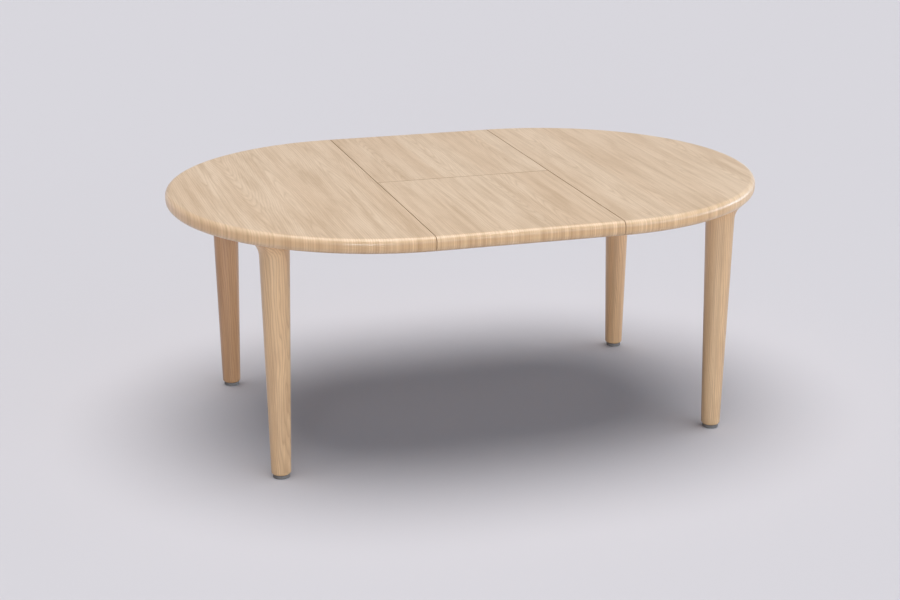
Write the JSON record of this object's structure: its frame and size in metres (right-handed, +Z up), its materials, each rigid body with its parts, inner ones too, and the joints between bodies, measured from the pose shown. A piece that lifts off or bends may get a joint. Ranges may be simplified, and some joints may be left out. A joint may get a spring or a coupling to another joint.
{
  "type": "extendable dining table",
  "caption": "Round-ended wooden dining table on turned tapering legs; the split top slides apart on geared runners and a folding leaf fills the gap.",
  "frame": {"origin": "on the floor under the middle of the leaf, with the leaf in place", "axes": "+X along the direction the table extends in, +Z up, -Y is the front"},
  "size_m": [1.791, 1.25, 0.735],
  "materials": {
    "top_oak": "matt lacquered pale oak, grain across the table",
    "leg_oak": "matt lacquered oak, grain along the leg",
    "rail_beech": "plain planed beech",
    "runner_aluminium": "mill-finish extrusion",
    "bright_steel": "zinc-plated",
    "black_nylon": "moulded",
    "white_nylon": "moulded",
    "glide_grey": "hard grey-brown felt-faced glide",
    "hinge_brass": "plain turned"
  },
  "bodies": {
    "left_end": {"left_top": "top_oak", "left_cross_rail": "rail_beech", "front_left_leg": "leg_oak", "front_left_glide": "glide_grey", "front_left_leg_plate": "bright_steel", "front_left_leg_bolt": "bright_steel", "front_left_runner_member": "runner_aluminium", "front_left_rack": "white_nylon", "front_left_runner_bracket": "bright_steel", "front_left_bracket_screw": "bright_steel", "front_left_rail_screw": "bright_steel", "rear_left_leg": "leg_oak", "rear_left_glide": "glide_grey", "rear_left_leg_plate": "bright_steel", "rear_left_leg_bolt": "bright_steel", "rear_left_runner_member": "runner_aluminium", "rear_left_rack": "white_nylon", "rear_left_runner_bracket": "bright_steel", "rear_left_bracket_screw": "bright_steel", "rear_left_rail_screw": "bright_steel"},
    "right_end": {"right_top": "top_oak", "right_cross_rail": "rail_beech", "front_right_leg": "leg_oak", "front_right_glide": "glide_grey", "front_right_leg_plate": "bright_steel", "front_right_leg_bolt": "bright_steel", "front_right_runner_member": "runner_aluminium", "front_right_rack": "white_nylon", "front_right_runner_bracket": "bright_steel", "front_right_bracket_screw": "bright_steel", "front_right_rail_screw": "bright_steel", "rear_right_leg": "leg_oak", "rear_right_glide": "glide_grey", "rear_right_leg_plate": "bright_steel", "rear_right_leg_bolt": "bright_steel", "rear_right_runner_member": "runner_aluminium", "rear_right_rack": "white_nylon", "rear_right_runner_bracket": "bright_steel", "rear_right_bracket_screw": "bright_steel", "rear_right_rail_screw": "bright_steel"},
    "front_pinion": {"front_pinion": "white_nylon"},
    "rear_pinion": {"rear_pinion": "white_nylon"},
    "carriage": {"front_runner_guide": "black_nylon", "front_pinion_axle": "bright_steel", "rear_runner_guide": "black_nylon", "rear_pinion_axle": "bright_steel", "left_leaf_bearer": "rail_beech", "left_locating_peg": "rail_beech", "front_left_bearer_screw": "bright_steel", "rear_left_bearer_screw": "bright_steel", "right_leaf_bearer": "rail_beech", "right_locating_peg": "rail_beech", "front_right_bearer_screw": "bright_steel", "rear_right_bearer_screw": "bright_steel"},
    "front_leaf": {"front_leaf": "top_oak", "front_left_hinge_cup": "hinge_brass", "front_right_hinge_cup": "hinge_brass"},
    "rear_leaf": {"rear_leaf": "top_oak", "rear_left_hinge_cup": "hinge_brass", "rear_right_hinge_cup": "hinge_brass"}
  },
  "joints": [
    {"name": "left_end_slide", "type": "slide", "parent": "carriage", "child": "left_end", "axis": [-1, 0, 0], "range_m": [0, 0.03]},
    {"name": "right_end_slide", "type": "slide", "parent": "carriage", "child": "right_end", "axis": [1, 0, 0], "range_m": [0, 0.03]},
    {"name": "front_pinion_spin", "type": "hinge", "parent": "carriage", "child": "front_pinion", "pos_m": [0, -0.335, 0.66], "axis": [0, 0, 1], "range_deg": [0, 195]},
    {"name": "rear_pinion_spin", "type": "hinge", "parent": "carriage", "child": "rear_pinion", "pos_m": [0, 0.335, 0.66], "axis": [0, 0, 1], "range_deg": [-195, 0]},
    {"name": "rear_leaf_lift", "type": "slide", "parent": "carriage", "child": "rear_leaf", "axis": [0, 0, 1], "range_m": [0, 0.12]},
    {"name": "front_leaf_fold", "type": "hinge", "parent": "rear_leaf", "child": "front_leaf", "pos_m": [0, 0, 0.7355], "axis": [-1, 0, 0], "range_deg": [0, 180]}
  ],
  "couplings": [
    {"joint": "right_end_slide", "follows": "left_end_slide", "ratio": 1},
    {"joint": "front_pinion_spin", "follows": "left_end_slide", "rad_per_m": 111.11},
    {"joint": "rear_pinion_spin", "follows": "left_end_slide", "rad_per_m": -111.11}
  ]
}
